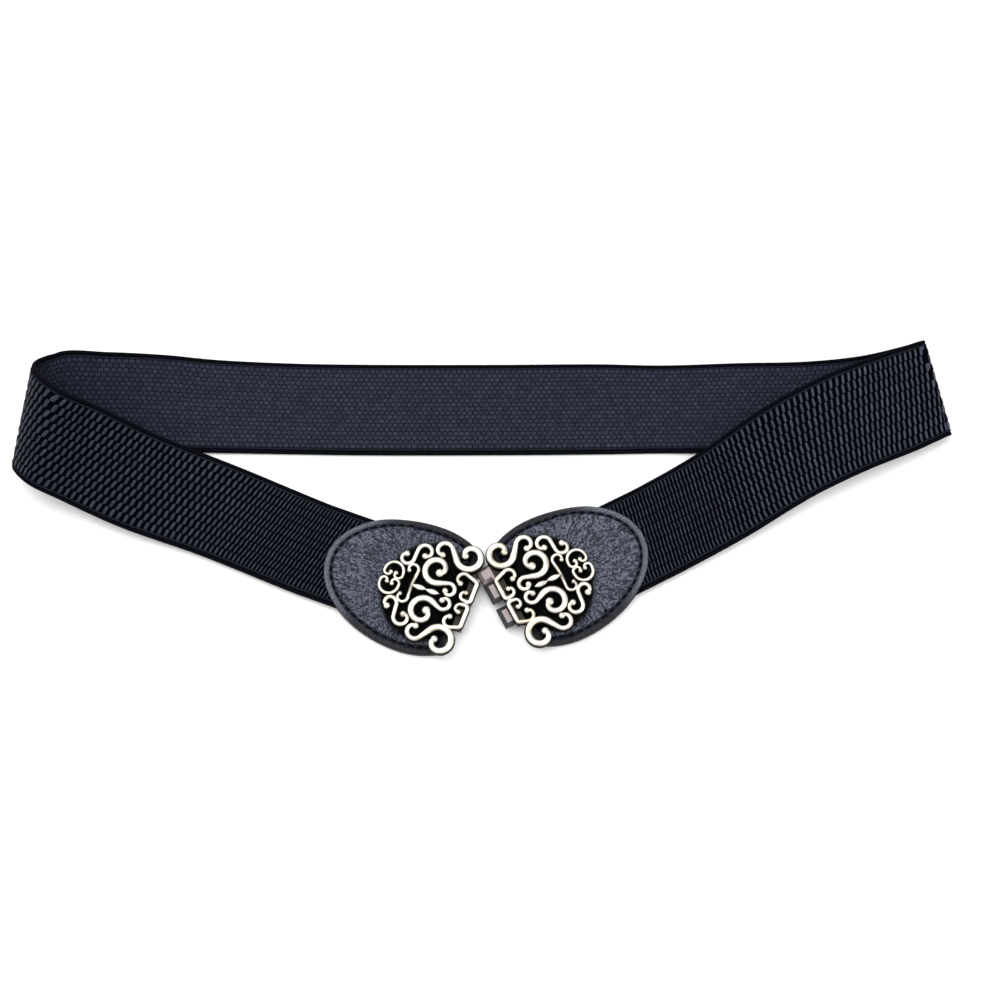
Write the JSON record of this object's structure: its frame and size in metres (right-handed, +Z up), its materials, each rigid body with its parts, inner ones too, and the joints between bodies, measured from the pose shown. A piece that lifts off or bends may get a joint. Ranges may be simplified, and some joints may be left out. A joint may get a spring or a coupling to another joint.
{
  "type": "stretch waist belt",
  "caption": "Wide stretch waist belt, fastened and lying flat, with rounded leather end tabs and a scrollwork clasp at the front.",
  "frame": {"origin": "centre of the belt's footprint, on the surface that it lies on", "axes": "+X to the side of the half with the lugs, +Y from the clasp to the back run, +Z up"},
  "size_m": [0.3608, 0.1238, 0.0366],
  "materials": {
    "elastic": "woven and knitted elastic webbing, matte",
    "leather": "smooth grained leather, semi-matte",
    "scrollwork": "pale antique plating, dark in the recesses",
    "lugs": "brushed plating"
  },
  "bodies": {
    "root": {"elastic_band": "elastic", "left_leather_tab": "leather", "left_scroll_plate": "scrollwork", "right_leather_tab": "leather", "right_scroll_plate": "scrollwork", "right_clasp_lugs": "lugs", "left_clasp_keeper": "lugs"}
  },
  "joints": []
}
